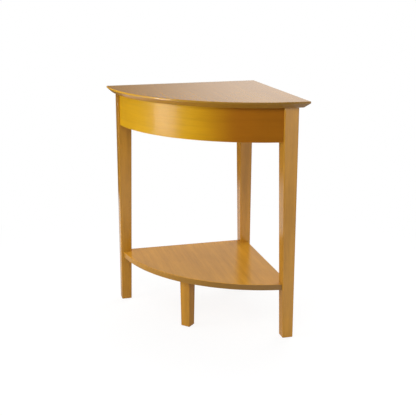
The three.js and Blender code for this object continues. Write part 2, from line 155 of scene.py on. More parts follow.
class TableStudio(PropertyGroup):
    """Light round the table."""

    key: power("Key", "Soft box at the left", 16.0)
    glow: power("Key glow", "What polished faces mirror of the key, low at the left", 2.3)
    fill: power("Fill", "Large soft box in front", 45.0)
    overhead: power("Overhead", "Soft box above and behind", 11.0)
    rear: power("Rear", "Soft box on the walls' side", 22.0)
    ambient: FloatProperty(name="Ambient", description="Light from the room all round", default=0.4, min=0.0)


# Shapes

def spot(x, y):
    """One point, for each row of its coordinates."""
    return np.stack([x, y], -1)


def around(angle):
    """The unit vector at each angle: its cosine and sine."""
    return spot(np.cos(angle), np.sin(angle))


def quarter_round(radius, steps):
    """How far a rounded edge stands in and how far it has dropped, at even turns of its quarter circle:
    the radius times one less the sine, and times one less the cosine."""
    turn = np.linspace(0, np.pi / 2, steps + 1)
    return radius * (1 - np.sin(turn)), radius * (1 - np.cos(turn))


def rounded(corners, radii, steps=4):
    """An open line of points with its inner corners rounded.

    Each corner is replaced by the circle arc that touches both of its sides. The arc's centre lies on the
    line that halves the corner, at the radius over the sine of half the angle, and its points turn evenly
    from one touching point to the other."""
    corners = np.asarray(corners, float)
    radii = np.asarray(radii, float)[:, None]
    here = corners[1:-1]
    back = corners[:-2] - here
    on = corners[2:] - here
    back /= np.linalg.norm(back, axis=1, keepdims=True)
    on /= np.linalg.norm(on, axis=1, keepdims=True)
    half = np.arccos((back * on).sum(1, keepdims=True)) / 2
    bisector = (back + on) / np.linalg.norm(back + on, axis=1, keepdims=True)
    centre = here + bisector * radii / np.sin(half)
    first = here + back * radii / np.tan(half) - centre
    last = here + on * radii / np.tan(half) - centre
    turn = (np.pi - 2 * half)[:, None]
    share = np.linspace(0, 1, steps + 1)[None, :, None]
    arc = (np.sin((1 - share) * turn) * first[:, None] + np.sin(share * turn) * last[:, None]) / np.sin(turn)
    return (centre[:, None] + arc).reshape(-1, 2)


def soft_square(low, high, radius, support, flat_corner=None, flat=0.0, steps=6):
    """Rectangles with rounded corners, counterclockwise, one for each row of low and high.

    Each corner is a quarter circle of the radius, with one more point on the flat on either side of it, at
    the support distance, so that the flats shade flat. Where flat_corner is given, that corner is a
    straight cut instead, its depth measured along the diagonal."""
    low, high = np.atleast_2d(low), np.atleast_2d(high)
    radius = np.broadcast_to(np.asarray(radius, float).reshape(-1, 1, 1, 1), (len(low), 1, 1, 1))
    sign = np.array([[1, -1], [1, 1], [-1, 1], [-1, -1]])
    outer = np.where(sign > 0, high[:, None], low[:, None])[:, :, None]
    centre = outer - sign[None, :, None] * radius
    start = np.radians([-90, 0, 90, 180])
    angle = start[:, None] + np.linspace(0, np.pi / 2, steps + 1)
    arc = centre + radius * around(angle)
    arriving = around(start + np.pi / 2)[None, :, None]
    leaving = around(start + np.pi)[None, :, None]
    if flat_corner is not None:
        cut = flat * math.sqrt(2)
        share = np.linspace(0, 1, steps + 1)[:, None]
        ends = outer - arriving * cut, outer + leaving * cut
        straight = ends[0] * (1 - share) + ends[1] * share
        arc[:, flat_corner] = straight[:, flat_corner]
    before = arc[:, :, :1] - arriving * support
    after = arc[:, :, -1:] + leaving * support
    return np.concatenate([before, arc, after], 2).reshape(len(low), -1, 2)


def lifted(outlines, heights):
    """Flat outlines, each at its own height."""
    heights = np.broadcast_to(np.asarray(heights, float)[:, None, None], outlines.shape[:2] + (1,))
    return np.concatenate([outlines, heights], 2)


def bow_points(sizes, inset, angle):
    """Points of the bowed line that lies inside the top's edge by the inset: a quarter ellipse round the
    wall corner, from the left tip at angle 0 to the right tip at a quarter turn."""
    across = (sizes.width - inset) * np.cos(angle)
    out = (sizes.depth - inset) * np.sin(angle)
    return spot(sizes.width / 2 - across, sizes.depth / 2 - out)


def top_outline(sizes, inset, bow_steps=120, tip_steps=6):
    """The quarter-round outline drawn in by each inset, counterclockwise from the wall corner.

    The bow is a circle arc round the wall corner, whose radius is the width less the inset, and in the end
    the whole outline is scaled along Y to the depth. The three upright corners are circle arcs too. At the
    two tips the arc touches the straight edge and the bow, so its centre lies at its own radius from the
    one and inside the other."""
    inset = np.asarray(inset, float).reshape(-1, 1)
    least = 0.0003
    soft = np.maximum(sizes.tip - inset, least)
    near = inset + soft
    far = np.sqrt((sizes.width - inset - soft) ** 2 - near**2)
    lean = np.arctan2(near, far)
    share = np.linspace(0, 1, tip_steps + 1)

    def arc(x, y, start, end):
        angle = start + (end - start) * share
        return spot(x + soft * np.cos(angle), y + soft * np.sin(angle))

    bow_share = np.linspace(0, 1, bow_steps + 1)[1:-1]
    bow_angle = np.pi + lean + (np.pi / 2 - 2 * lean) * bow_share
    bow = (sizes.width - inset)[..., None] * around(bow_angle)
    outline = np.concatenate(
        [
            arc(-near, -near, 0, np.pi / 2),
            spot(-near - REACH, -inset),
            spot(-far + REACH, -inset),
            arc(-far, -near, np.pi / 2, np.pi + lean),
            bow,
            arc(-near, -far, 1.5 * np.pi - lean, 2 * np.pi),
            spot(-inset, -far + REACH),
            spot(-inset, -near - REACH),
        ],
        1,
    )
    outline[..., 1] *= sizes.depth / sizes.width
    return outline + [sizes.width / 2, sizes.depth / 2]


def leg_width_at(sizes, height):
    """Width of a long leg at a height: square beside the aprons, then tapering evenly to the foot."""
    fall = np.clip((bow_low.z - height) / (bow_low.z - leg_low.z), 0, 1)
    return sizes.leg_width - (sizes.leg_width - sizes.foot_width) * fall


def foot_rows(sizes, bottom):
    """The rounded foot of a leg: how far each row is drawn in, and its height. The last row is at the
    leg's full width, a little above the rounding."""
    inset, rise = quarter_round(sizes.foot_edge, 4)
    above = sizes.foot_edge + REACH
    return np.concatenate([[above], inset, [0]]), bottom + np.concatenate([[0], rise, [above]])


def leg_rounding(sizes, shrink):
    """Rounding of a leg's long edges. It gets smaller where the rounded foot is drawn in."""
    return sizes.leg_edge - 0.4 * shrink.clip(0, sizes.foot_edge)


def shelf_outline(sizes, inset, notch_inset, bow_steps=120):
    """The shelf's outline drawn in by each inset, counterclockwise from the back leg's notch.

    It is a quarter-round board with a square notch round each long leg. Its bow is the part between the
    two outer notches of a quarter ellipse round the top's wall corner. The notches grow by notch_inset."""
    inset = np.asarray(inset, float).reshape(-1, 1)
    notch_inset = np.asarray(notch_inset, float).reshape(-1, 1)
    reach = sizes.leg_inset + leg_width_at(sizes, shelf_high.z) + sizes.fit + notch_inset
    edge = (top_high.x - shelf_high.x) + inset
    across = sizes.width - sizes.shelf_bow_inset - inset
    out = sizes.depth - sizes.shelf_bow_inset - inset
    first, last = np.arcsin(reach / out), np.arccos(reach / across)
    angle = first + (last - first) * np.linspace(0, 1, bow_steps + 1)
    bow = spot(across * np.cos(angle), out * np.sin(angle))

    left, right = sizes.width - reach, sizes.depth - reach
    outline = np.concatenate(
        [spot(reach, edge), spot(left, edge), spot(left, reach), bow]
        + [spot(reach, right), spot(edge, right), spot(edge, reach), spot(reach, reach)],
        1,
    )
    return [sizes.width / 2, sizes.depth / 2] - outline


def ring_faces(rings, count, looped=False):
    """Faces of a closed skin over rings of equal count: a band of quads between each two rings, and one
    flat face over each end. Looped joins the last ring to the first instead, as on a washer."""
    start = np.arange(rings if looped else rings - 1)[:, None] * count
    on = (start + count) % (rings * count)
    here = np.arange(count)[None]
    after = (here + 1) % count
    quads = np.stack([start + here, start + after, on + after, on + here], -1).reshape(-1, 4).tolist()
    if looped:
        return quads
    return quads + [list(range(count))[::-1], list(range((rings - 1) * count, rings * count))]


def put(name, data):
    """A new object in the scene, in place of an older one of that name."""
    old = bpy.data.objects.get(name)
    if old is not None:
        bpy.data.objects.remove(old)
    made = bpy.data.objects.new(name, data)
    bpy.context.scene.collection.objects.link(made)
    return made


def place_piece(name, mesh, finish, nodes, sharp=35.0):
    """Puts a smooth-shaded mesh in the scene, with edges over the sharp angle kept crisp. It rides on the
    table's one body and stands for the solids named."""
    mesh.materials.clear()
    mesh.materials.append(finish)
    piece = put(name, mesh)
    shade(piece, sharp)
    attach(piece, "root")
    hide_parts(*nodes)
    return piece


def add_eased_copy(name, node, width, finish):
    """A solid's own shape with its edges eased: its triangles are joined into whole flat faces, and each
    edge where two of them meet at more than the crisp angle is bevelled to the width."""
    flat, crisp = math.radians(0.5), math.radians(40)
    mesh = bpy.data.meshes.new(name)
    form = bmesh.new()
    form.from_mesh(frame["nodes"][node].data)
    bmesh.ops.remove_doubles(form, verts=form.verts[:], dist=1e-6)
    bmesh.ops.dissolve_limit(form, angle_limit=flat, verts=form.verts[:], edges=form.edges[:])
    form.to_mesh(mesh)
    form.free()
    piece = place_piece(name, mesh, finish, [node])
    eased = piece.modifiers.new("eased_edges", "BEVEL")
    eased.width = width
    eased.segments = 2
    eased.limit_method = "ANGLE"
    eased.angle_limit = crisp
    eased.harden_normals = True


def shade(piece, sharp=35.0):
    """Smooth shading, with edges over the angle, in degrees, kept crisp."""
    piece.data.shade_smooth()
    piece.data.set_sharp_from_angle(angle=math.radians(sharp))


def ring_mesh(name, rings, looped=False):
    """A mesh whose skin runs through rings of points."""
    mesh = bpy.data.meshes.new(name)
    mesh.from_pydata(rings.reshape(-1, 3).tolist(), [], ring_faces(*rings.shape[:2], looped))
    return mesh


def add_rings(name, rings, finish, nodes, sharp=35.0, looped=False):
    """A closed piece through rings of points."""
    mesh = ring_mesh(name, rings, looped)
    if mesh.validate():
        raise RuntimeError(f"{name} has faces that aren't real")
    return place_piece(name, mesh, finish, nodes, sharp)


def add_turned(name, rows, sides, node, direction, finish, looped=False):
    """A piece turned round a solid's axis, in place of the solid.

    Each row is a radius and a distance along the axis from the solid's start, in millimetres, and either
    may be an array with one value for each angle, as on a nut or a thread. A point lies at its row's
    distance along the axis, and off it by the radius times the angle's cosine and sine."""
    direction = np.asarray(direction, float) / np.linalg.norm(direction)
    start, _ = solid_axis(node, direction)
    angle = angles(sides)
    radius = np.array([np.broadcast_to(row[0], sides) for row in rows]) / 1000
    along = np.array([np.broadcast_to(row[1], sides) for row in rows]) / 1000
    local = np.stack([radius * np.cos(angle), radius * np.sin(angle), along], -1)
    turn = np.array(Vector((0, 0, 1)).rotation_difference(Vector(direction)).to_matrix())
    return add_rings(name, local @ turn.T + start, finish, [node], 30.0, looped)


def angles(sides):
    """Even turns round a circle, one for each side."""
    return np.arange(sides) / sides * 2 * np.pi


def hexagon(across_flats, sides):
    """Radius of a hexagon's outline at each angle: half its width over the cosine of the angle from the
    middle of the nearest flat."""
    from_flat = (angles(sides) + np.pi / 6) % (np.pi / 3) - np.pi / 6
    return across_flats / 2 / np.cos(from_flat)


def slots(arm, half_width, arms, sides):
    """Radius of a slot, or of crossed slots, at each angle: the arm's length, or less where the arm's side
    is nearer, at half its width over the sine of the angle from the arm's middle."""
    step = 2 * np.pi / arms
    from_arm = np.abs((angles(sides) + step / 2) % step - step / 2)
    return np.minimum(arm, half_width / np.maximum(np.sin(from_arm), 1e-6))


def dome(radius, height, inner, steps=6):
    """Rows of a domed head from an inner radius out to its rim.

    The face falls as a parabola of the radius over the middle, and a quarter ellipse rounds it down to the
    rim. Both distances are from the head's highest point."""
    crown = 0.35 * height
    low = 0.9 * height
    edge = 0.8 * radius
    face = [(out, crown * (out / radius) ** 2) for out in np.linspace(inner, edge, 4)]
    start = face[-1][1]
    short, fall = quarter_round(1.0, steps)
    rim = [(radius - (radius - edge) * a, start + (low - start) * b) for a, b in zip(short[1:], fall[1:])]
    return face + rim + [(radius, height)]


def thread(minor, major, pitch, first, last, sides, per_turn=8):
    """Rows of a screw thread: at each angle the ridge peaks where the distance over the pitch, less the
    angle's share of a turn, is a whole number, and falls evenly to the minor radius between peaks."""
    along = np.arange(first, last, pitch / per_turn)
    share = (along[:, None] / pitch - angles(sides)[None] / (2 * np.pi)) % 1.0
    ridge = np.abs(2 * share - 1)
    return [(row, place) for row, place in zip(minor + (major - minor) * ridge, along)]


# Materials

class Nodes:
    """Builds a material's nodes in a few words."""

    def __init__(self, tree):
        self.tree = tree

    def add(self, kind, inputs=None, **settings):
        node = self.tree.nodes.new(kind)
        for key, value in settings.items():
            setattr(node, key, value)
        for key, value in (inputs or {}).items():
            if isinstance(value, bpy.types.NodeSocket):
                self.tree.links.new(value, node.inputs[key])
            else:
                node.inputs[key].default_value = value
        return node

    def math(self, operation, first, second=0.0, third=0.0):
        inputs = {0: first, 1: second, 2: third}
        return self.add("ShaderNodeMath", inputs, operation=operation).outputs[0]

    def vector(self, operation, first, second=(0.0, 0.0, 0.0), output="Vector"):
        inputs = {0: first, 1: second}
        return self.add("ShaderNodeVectorMath", inputs, operation=operation).outputs[output]

    def split(self, vector):
        return self.add("ShaderNodeSeparateXYZ", {0: vector}).outputs

    def span(self, value, low, high, new_low=0.0, new_high=1.0, kind="LINEAR"):
        inputs = {0: value, 1: low, 2: high, 3: new_low, 4: new_high}
        return self.add("ShaderNodeMapRange", inputs, interpolation_type=kind).outputs[0]

    def noise(self, vector, scales, detail=2.0, roughness=0.5):
        """Cloud noise with its own number of features to the metre in each direction."""
        stretched = self.vector("MULTIPLY", vector, scales)
        inputs = {"Vector": stretched, "Scale": 1.0, "Detail": detail, "Roughness": roughness}
        return self.add("ShaderNodeTexNoise", inputs).outputs["Fac"]

    def mix(self, factor, first, second, blend="MIX"):
        """Two colours mixed by a factor."""
        inputs = {0: factor, 6: first, 7: second}
        return self.add("ShaderNodeMix", inputs, data_type="RGBA", blend_type=blend).outputs[2]

    def blend(self, factor, first, second):
        """Two numbers mixed by a factor."""
        return self.add("ShaderNodeMix", {0: factor, 2: first, 3: second}, data_type="FLOAT").outputs[0]

    def mix_shaders(self, factor, first, second):
        return self.add("ShaderNodeMixShader", {0: factor, 1: first, 2: second}).outputs[0]

    def bump(self, strength, distance, height):
        inputs = {"Strength": strength, "Distance": distance, "Height": height}
        return self.add("ShaderNodeBump", inputs).outputs[0]


def new_material(name):
    """An empty material and the builder of its nodes, in place of an older one of that name."""
    old = bpy.data.materials.get(name)
    if old is not None:
        bpy.data.materials.remove(old)
    material = bpy.data.materials.new(name)
    material.use_nodes = True
    material.node_tree.nodes.clear()
    return material, Nodes(material.node_tree)


def shader(nodes, **inputs):
    """The surface shader, wired to the output. Underscores in the names stand for spaces."""
    named = {key.replace("_", " "): value for key, value in inputs.items()}
    surface = nodes.add("ShaderNodeBsdfPrincipled", named)
    nodes.add("ShaderNodeOutputMaterial", {"Surface": surface.outputs[0]})


def toned(tint, factor, shift=(1.0, 1.0, 1.0)):
    """A colour made lighter or darker, with alpha for the nodes."""
    return tuple(min(channel * factor * lean, 1.0) for channel, lean in zip(tint, shift)) + (1.0,)


def wood_finish(
    name, tint, grain, edges=None, rim=0.0, contrast=1.0, gloss=(0.17, 0.27), relief=0.05, deepen=None,
    **extra,
):
    """Lacquered or bare wood.

    Grain gives where a point lies in the wood: along it, across it and through it. It wavers sideways by
    a slow cloud. Broad tone, medium figure and fine fibre are cloud noise stretched along the grain, a
    rounder cloud mottles them, and short flecks are the peaks of a finer one. Contrast scales their tones.

    Edges says how much darker a flat board whose grain runs along Y is painted on its upright faces and on
    its
    ends, whose faces look along Y: painted shade where these faces get less light than the upper face, and on
    the ends also the deeper stain that end grain drinks in. Rim says how much lighter the upright faces are
    painted, a painted highlight, and a share of it paints shade on the faces turned down. The function for
    the length, where given, paints shade over a piece's whole length.

    Gloss is the roughness where the fibre is lowest and where it is highest, and the fibre also gives a
    slight relief."""
    material, nodes = new_material(name)
    place = grain(nodes)
    sway = 0.006
    waver = nodes.math("MULTIPLY_ADD", nodes.noise(place, (5.0, 14.0, 14.0)), 2 * sway, -sway)
    sideways = nodes.add("ShaderNodeCombineXYZ", {"Y": waver, "Z": waver}).outputs[0]
    place = nodes.vector("ADD", place, sideways)
    tone = nodes.noise(place, (2.0, 11.0, 11.0))
    cloud = nodes.noise(place, (15.0, 24.0, 24.0))
    figure = nodes.noise(place, (3.0, 70.0, 70.0), 3.0, 0.55)
    fibre = nodes.noise(place, (26.0, 720.0, 720.0), 3.0, 0.6)
    fleck = nodes.span(nodes.noise(place, (240.0, 1700.0, 1700.0), 1.0), 0.6, 0.7)
    value = 0.0
    for layer, share in ((tone, 0.28), (cloud, 0.14), (figure, 0.36), (fibre, 0.22)):
        value = nodes.math("ADD", value, nodes.math("MULTIPLY", nodes.span(layer, 0.3, 0.7), share))
    spread = 0.26 * contrast
    dark = toned(tint, 1 - spread, (1.0, 0.95, 0.88))
    light = toned(tint, 1 + spread, (1.0, 1.03, 1.1))
    shown = nodes.mix(value, dark, light)
    flecked = nodes.math("MULTIPLY", fleck, 0.16 * contrast)
    shown = nodes.mix(flecked, shown, toned(tint, 0.45))
    if edges is not None:
        side, end = edges
        normal = nodes.split(nodes.add("ShaderNodeNewGeometry").outputs["Normal"])
        upright = nodes.math("SUBTRACT", 1.0, nodes.math("POWER", normal["Z"], 2.0))
        # Painted highlight: upright faces, such as the top's nose, are painted lighter in place of the key
        # light's glint.
        painted_highlight = nodes.span(upright, 0.5, 0.95, 0.0, rim)
        shown = nodes.mix(painted_highlight, shown, toned(tint, 1.38, (1.0, 1.14, 0.8)))
        # Painted shade, with some end-grain stain: faces along Y and upright faces are painted darker, and
        # faces turned down darker still.
        depth = nodes.span(nodes.math("ABSOLUTE", normal["Y"]), 0.3, 0.95, 0.0, end - side)
        depth = nodes.math("ADD", depth, nodes.math("MULTIPLY", upright, side))
        depth = nodes.math("ADD", depth, nodes.span(normal["Z"], -0.3, -0.7, 0.0, 0.3 * rim))
        shown = nodes.mix(depth, shown, toned(tint, 0.36, (1.0, 1.05, 1.6)))
    if deepen is not None:
        shown = deepen(nodes, shown)
    height = nodes.math("SUBTRACT", fibre, nodes.math("MULTIPLY", fleck, 0.5))
    rough = nodes.span(fibre, 0.25, 0.75, *gloss)
    if edges is not None:
        rough = nodes.math("ADD", rough, nodes.math("MULTIPLY", upright, 0.12))
    bump = nodes.bump(relief, 0.0003, height)
    shader(nodes, Base_Color=shown, Roughness=rough, Normal=bump, **extra)
    return material


def board_grain(turn, shift):
    """Grain that runs straight through a piece: its object place, turned so that the grain lies along X."""
    def place(nodes):
        here = nodes.add("ShaderNodeTexCoord").outputs["Object"]
        inputs = {"Vector": here, "Rotation": turn, "Location": shift}
        return nodes.add("ShaderNodeMapping", inputs, vector_type="POINT").outputs[0]
    return place


def bent_grain(nodes):
    """Grain that follows the bow, by the apron's own map of length and height."""
    here = nodes.add("ShaderNodeUVMap", uv_map="bow").outputs[0]
    return nodes.add("ShaderNodeMapping", {"Vector": here, "Location": (1.7, 0.4, 0.2)}).outputs[0]


def get_finish(name, build, *looks, **more):
    """A finish by name, built when the first piece asks for it."""
    material = bpy.data.materials.get(name)
    return material if material is not None else build(name, *looks, **more)


ALONG_X = (0.0, 0.0, 0.0)
ALONG_Y = (0.0, 0.0, -math.pi / 2)
ALONG_Z = (0.0, math.pi / 2, 0.0)


def honey_finish(name, turn, shift, tone_and_painted_light=1.0, **looks):
    """Honey-coloured wood under semi-gloss lacquer. The lightness factor makes one board lighter or darker
    than its neighbours: partly its own tone, and partly painted light, most on the shelf and the back leg,
    which sit under the top.
    """
    tint = toned(bpy.context.scene.table_finishes.honey, tone_and_painted_light)[:3]
    grain = board_grain(turn, shift)
    return get_finish(name, wood_finish, tint, grain, IOR=1.5, Specular_IOR_Level=0.5, **looks)


def veneer_finish(name):
    """Bent veneer with the golden sheen of fibres that follow the bow, under a clear satin coat. Its tone is
    painted from gold to a deeper brown along the apron: painted shade, darker where the bow turns from the
    key light."""
    finishes = bpy.context.scene.table_finishes
    shade_ratio = tuple(deep / light for deep, light in zip(finishes.veneer_painted_shade, finishes.veneer)) + (1.0,)

    def deepen(nodes, shown):
        # Painted shade: the colour is multiplied towards the deep colour over the apron's right part.
        place = nodes.add("ShaderNodeUVMap", uv_map="bow").outputs[0]
        share = nodes.span(nodes.split(place)["X"], 0.4, 0.57, kind="SMOOTHSTEP")
        return nodes.mix(1.0, shown, nodes.mix(share, (1.0, 1.0, 1.0, 1.0), shade_ratio), "MULTIPLY")

    coat = {"Coat_Weight": 0.4, "Coat_Roughness": 0.28, "Coat_IOR": 1.5}
    sheen = {"Sheen_Weight": 0.4, "Sheen_Roughness": 0.6, "Sheen_Tint": (1.0, 0.62, 0.01, 1.0)}
    return get_finish(
        name, wood_finish, finishes.veneer, bent_grain, contrast=0.8, gloss=(0.46, 0.54), deepen=deepen,
        IOR=1.5, Specular_IOR_Level=0.5, Specular_Tint=(0.6, 0.62, 0.03, 1.0), **coat, **sheen,
    )


def bare_finish(name, turn, shift):
    """Sawn and planed wood without lacquer."""
    tint = bpy.context.scene.table_finishes.bare
    looks = {"contrast": 1.2, "gloss": (0.62, 0.8), "IOR": 1.5, "Specular_IOR_Level": 0.3}
    return get_finish(name, wood_finish, tint, board_grain(turn, shift), **looks)


def zinc_finish(name):
    """Bright zinc plate: a cloudy blue-grey with fine scuffs in its roughness."""
    tint = bpy.context.scene.table_finishes.zinc
    material, nodes = new_material(name)
    here = nodes.add("ShaderNodeTexCoord").outputs["Object"]
    cloud = nodes.noise(here, (420.0, 420.0, 420.0), 3.0)
    scuff = nodes.noise(here, (1500.0, 5200.0, 2600.0))
    shown = nodes.mix(cloud, toned(tint, 0.86, (0.98, 1.0, 1.04)), toned(tint, 1.1))
    rough = nodes.span(scuff, 0.3, 0.7, 0.24, 0.42)
    bump = nodes.bump(0.08, 0.0001, scuff)
    shader(nodes, Base_Color=shown, Metallic=1.0, Roughness=rough, Normal=bump)
    return material


def nylon_finish(name):
    """Matte brown nylon with a faint moulded texture."""
    tint = bpy.context.scene.table_finishes.nylon
    material, nodes = new_material(name)
    here = nodes.add("ShaderNodeTexCoord").outputs["Object"]
    grit = nodes.noise(here, (1900.0, 1900.0, 1900.0))
    cloud = nodes.noise(here, (120.0, 120.0, 120.0))
    shown = nodes.mix(cloud, toned(tint, 0.85), toned(tint, 1.2))
    rough = nodes.span(grit, 0.3, 0.7, 0.48, 0.62)
    shader(nodes, Base_Color=shown, Roughness=rough, Normal=nodes.bump(0.2, 0.0002, grit))
    return material


# Pieces

class AddTop(Operator):
    """Add the quarter-round top with its undercut edge"""

    bl_idname = "corner_table.add_top"
    bl_label = "Top"

    def execute(self, context):
        sizes = context.scene.table_sizes
        under = sizes.height - sizes.top_thickness
        nose = sizes.height - sizes.nose
        # The edge's profile, as distance in from the outline and height: out under the top, up the slope to
        # the nose, up the nose, and in over the upper face
        corners = [
            (sizes.undercut + 2 * REACH, under), (sizes.undercut, under), (0, nose), (0, sizes.height),
            (2 * REACH, sizes.height),
        ]
        under_edge, nose_edge = 0.0005, 0.0006
        profile = rounded(corners, [under_edge, nose_edge, sizes.edge])
        lower, crease, rim = profile[:5], profile[5:10], profile[10:]
        # A row of points close to each rounded edge keeps the slope and the nose flat between them.
        slope = np.array([sizes.undercut, under - nose])
        on_slope = 0.0008 * slope / np.linalg.norm(slope)
        on_nose = np.array([0, 0.0006])
        profile = np.concatenate(
            [
                [(sizes.undercut + REACH, under)], lower, [lower[-1] - on_slope, crease[0] + on_slope],
                crease, [crease[-1] + on_nose, rim[0] - on_nose], rim, [(sizes.edge + REACH, sizes.height)],
            ]
        )
        rings = lifted(top_outline(sizes, profile[:, 0]), profile[:, 1])
        # Painted light: the top is painted a little lighter. Its nose gets a painted highlight, and its ends
        # and undercut get painted shade with some end-grain stain.
        finish = honey_finish(
            "honey_top", ALONG_Y, (0.31, 0.12, 0.05), 1.08, edges=(0.0, 0.85), rim=0.9, contrast=0.65,
            gloss=(0.13, 0.15), relief=0.01,
        )
        add_rings("quarter_round_top", rings, finish, ["top_board"])
        return {"FINISHED"}


class AddLongLegs(Operator):
    """Add the three long legs, which taper on their two inner faces below the aprons"""

    bl_idname = "corner_table.add_long_legs"
    bl_label = "Long Legs"

    def execute(self, context):
        sizes = context.scene.table_sizes
        shrink, heights = foot_rows(sizes, leg_low.z)
        block = leg_high.z - sizes.block_height
        bend = bow_low.z + np.array([-REACH, 0, REACH])
        heights = np.concatenate([heights, bend, [block]])
        shrink = np.concatenate([shrink, np.zeros(4)])
        # The flat beside a corner block starts a small step above the block's lower edge.
        step = 0.0004
        cut_heights = np.array([block + step, leg_high.z])
        # Each leg's name, the sides its outer faces look to, its inner corner, which is cut flat beside the
        # block, its place in the grain, and how light it is painted: partly its own tone, and partly painted
        # light, most on the back leg, which stands deepest under the top.
        for name, side, corner, shift, tone_and_painted_light in (
            ("left", (-1, 1), 0, (0.2, 0.3, 0.1), 0.98),
            ("right", (1, -1), 2, (0.9, 0.5, 0.4), 1.08),
            ("back", (1, 1), 3, (1.6, 0.8, 0.7), 1.24),
        ):
            lower = self.rings_at(sizes, np.array(side), heights, shrink)
            upper = self.rings_at(sizes, np.array(side), cut_heights, np.zeros(2), corner)
            finish = honey_finish(f"honey_{name}_leg", ALONG_Z, shift, tone_and_painted_light, contrast=1.15)
            rings = np.concatenate([lower, upper])
            add_rings(f"tapered_leg_{name}", rings, finish, [f"{name}_leg"])
        return {"FINISHED"}

    def rings_at(self, sizes, side, heights, shrink, cut=None):
        """Rings of a leg at some heights, drawn in by the shrink: rounded squares that reach from the two
        outer faces, which stay upright, inwards by the leg's width at that height."""
        far = side * (np.array([sizes.width, sizes.depth]) / 2 - sizes.leg_inset)
        near = far - side * leg_width_at(sizes, heights)[:, None]
        low = np.minimum(far, near) + shrink[:, None]
        high = np.maximum(far, near) - shrink[:, None]
        radius = leg_rounding(sizes, shrink)
        return lifted(soft_square(low, high, radius, SHORT_REACH, cut, sizes.leg_flat), heights)


class AddBowedApron(Operator):
    """Add the bent front apron between the left and the right leg"""

    bl_idname = "corner_table.add_bowed_apron"
    bl_label = "Bowed Apron"

    def execute(self, context):
        sizes = context.scene.table_sizes
        steps = 150
        # A rounded rectangle is carried round the bow. Each of its points keeps its own inset and goes from
        # the left leg's face to the right leg's, so the ends are flat.
        low, high = (0, bow_low.z), (sizes.bow_thickness, bow_high.z)
        section = soft_square(low, high, sizes.apron_edge, SHORT_REACH)[0]
        inset = sizes.bow_inset + section[:, 0]
        reach = sizes.leg_inset + sizes.leg_width + sizes.fit
        first = np.arcsin(reach / (sizes.depth - inset))
        last = np.arccos(reach / (sizes.width - inset))
        angle = first + (last - first) * np.linspace(0, 1, steps + 1)[:, None]
        flat = bow_points(sizes, inset, angle)
        heights = np.broadcast_to(section[:, 1], flat.shape[:2])
        rings = np.concatenate([flat, heights[..., None]], 2)
        finish = veneer_finish("honey_veneer")
        mesh = add_rings("bent_apron", rings, finish, ["bowed_apron"]).data
        corner = np.empty(len(mesh.loops), np.int32)
        mesh.loops.foreach_get("vertex_index", corner)
        # The grain's map: the length along the bow, and the height less half the depth in from the face
        along = (angle * (sizes.width - sizes.bow_inset)).ravel()
        height = (heights - 0.5 * section[:, 0]).ravel()
        places = mesh.uv_layers.new(name="bow")
        places.data.foreach_set("uv", spot(along[corner], height[corner]).ravel())
        return {"FINISHED"}


class AddStraightAprons(Operator):
    """Add the two straight aprons along the walls"""

    bl_idname = "corner_table.add_straight_aprons"
    bl_label = "Straight Aprons"

    def execute(self, context):
        sizes = context.scene.table_sizes
        for name, axis, turn in (("back", 0, ALONG_X), ("side", 1, ALONG_Y)):
            low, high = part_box(f"{name}_apron")
            across = 1 - axis
            bottom, top = (low[across], low.z), (high[across], high.z)
            # The same rounded rectangle at both ends. The side apron's ends are taken the other way round, so
            # that its faces point outwards too.
            section = soft_square(bottom, top, sizes.apron_edge, SHORT_REACH)[0]
            ends = (low[axis], high[axis]) if axis == 0 else (high[axis], low[axis])
            rings = np.empty((2, len(section), 3))
            rings[..., axis] = np.asarray(ends)[:, None]
            rings[..., across] = section[:, 0]
            rings[..., 2] = section[:, 1]
            finish = honey_finish(f"honey_{name}_apron", turn, (0.4 + axis, 1.1, 0.3))
            add_rings(f"straight_apron_{name}", rings, finish, [f"{name}_apron"])
        return {"FINISHED"}


class AddShelf(Operator):
    """Add the quarter-round shelf, notched round the long legs"""

    bl_idname = "corner_table.add_shelf"
    bl_label = "Shelf"

    def execute(self, context):
        sizes = context.scene.table_sizes
        # The edges are quarter circles above and below. The first and last ring lie on the flat faces, drawn
        # in past the rounding, and their notches are wider.
        inset, drop = quarter_round(sizes.edge, 5)
        inset = np.concatenate([[sizes.edge + REACH], inset])
        drop = np.concatenate([[0], drop])
        heights = np.concatenate([shelf_low.z + drop, shelf_high.z - drop[::-1]])
        wider = 0.001
        notches = np.zeros(len(heights))
        notches[[0, -1]] = wider
        outline = shelf_outline(sizes, np.concatenate([inset, inset[::-1]]), notches)
        rings = lifted(outline, heights)
        # Painted light: the shelf is painted much lighter, as the top keeps light from it. Its edges are
        # painted darker, which is painted shade with some end-grain stain.
        finish = honey_finish(
            "honey_shelf", ALONG_Y, (0.77, 0.52, 0.31), 1.38, edges=(0.45, 1.0), gloss=(0.19, 0.24),
            relief=0.02,
        )
        shelf = add_rings("notched_shelf", rings, finish, ["shelf"])
        for corner in INWARD:
            self.drill(shelf, f"{corner}_barrel_nut")
        shade(shelf)
        return {"FINISHED"}

    def drill(self, shelf, nut):
        """Opens the round hole that a barrel nut lies in, from below. The drill starts under the shelf and
        ends a little above the nut."""
        radius, under, over = 0.0053, 0.004, 0.0003
        start, reach = solid_axis(nut, UP)
        circle = radius * around(angles(48)) + start[:2]
        rings = lifted(np.stack([circle, circle]), [shelf_low.z - under, start[2] + reach + over])
        mesh = ring_mesh("barrel_hole", rings)
        drill = put("barrel_hole", mesh)
        cut = shelf.modifiers.new("barrel_hole", "BOOLEAN")
        cut.operation = "DIFFERENCE"
        cut.solver = "EXACT"
        cut.object = drill
        shown = shelf.evaluated_get(bpy.context.evaluated_depsgraph_get())
        drilled = bpy.data.meshes.new_from_object(shown)
        shelf.modifiers.clear()
        old = shelf.data
        shelf.data = drilled
        bpy.data.meshes.remove(old)
        drilled.name = shelf.name
        bpy.data.objects.remove(drill)
        bpy.data.meshes.remove(mesh)


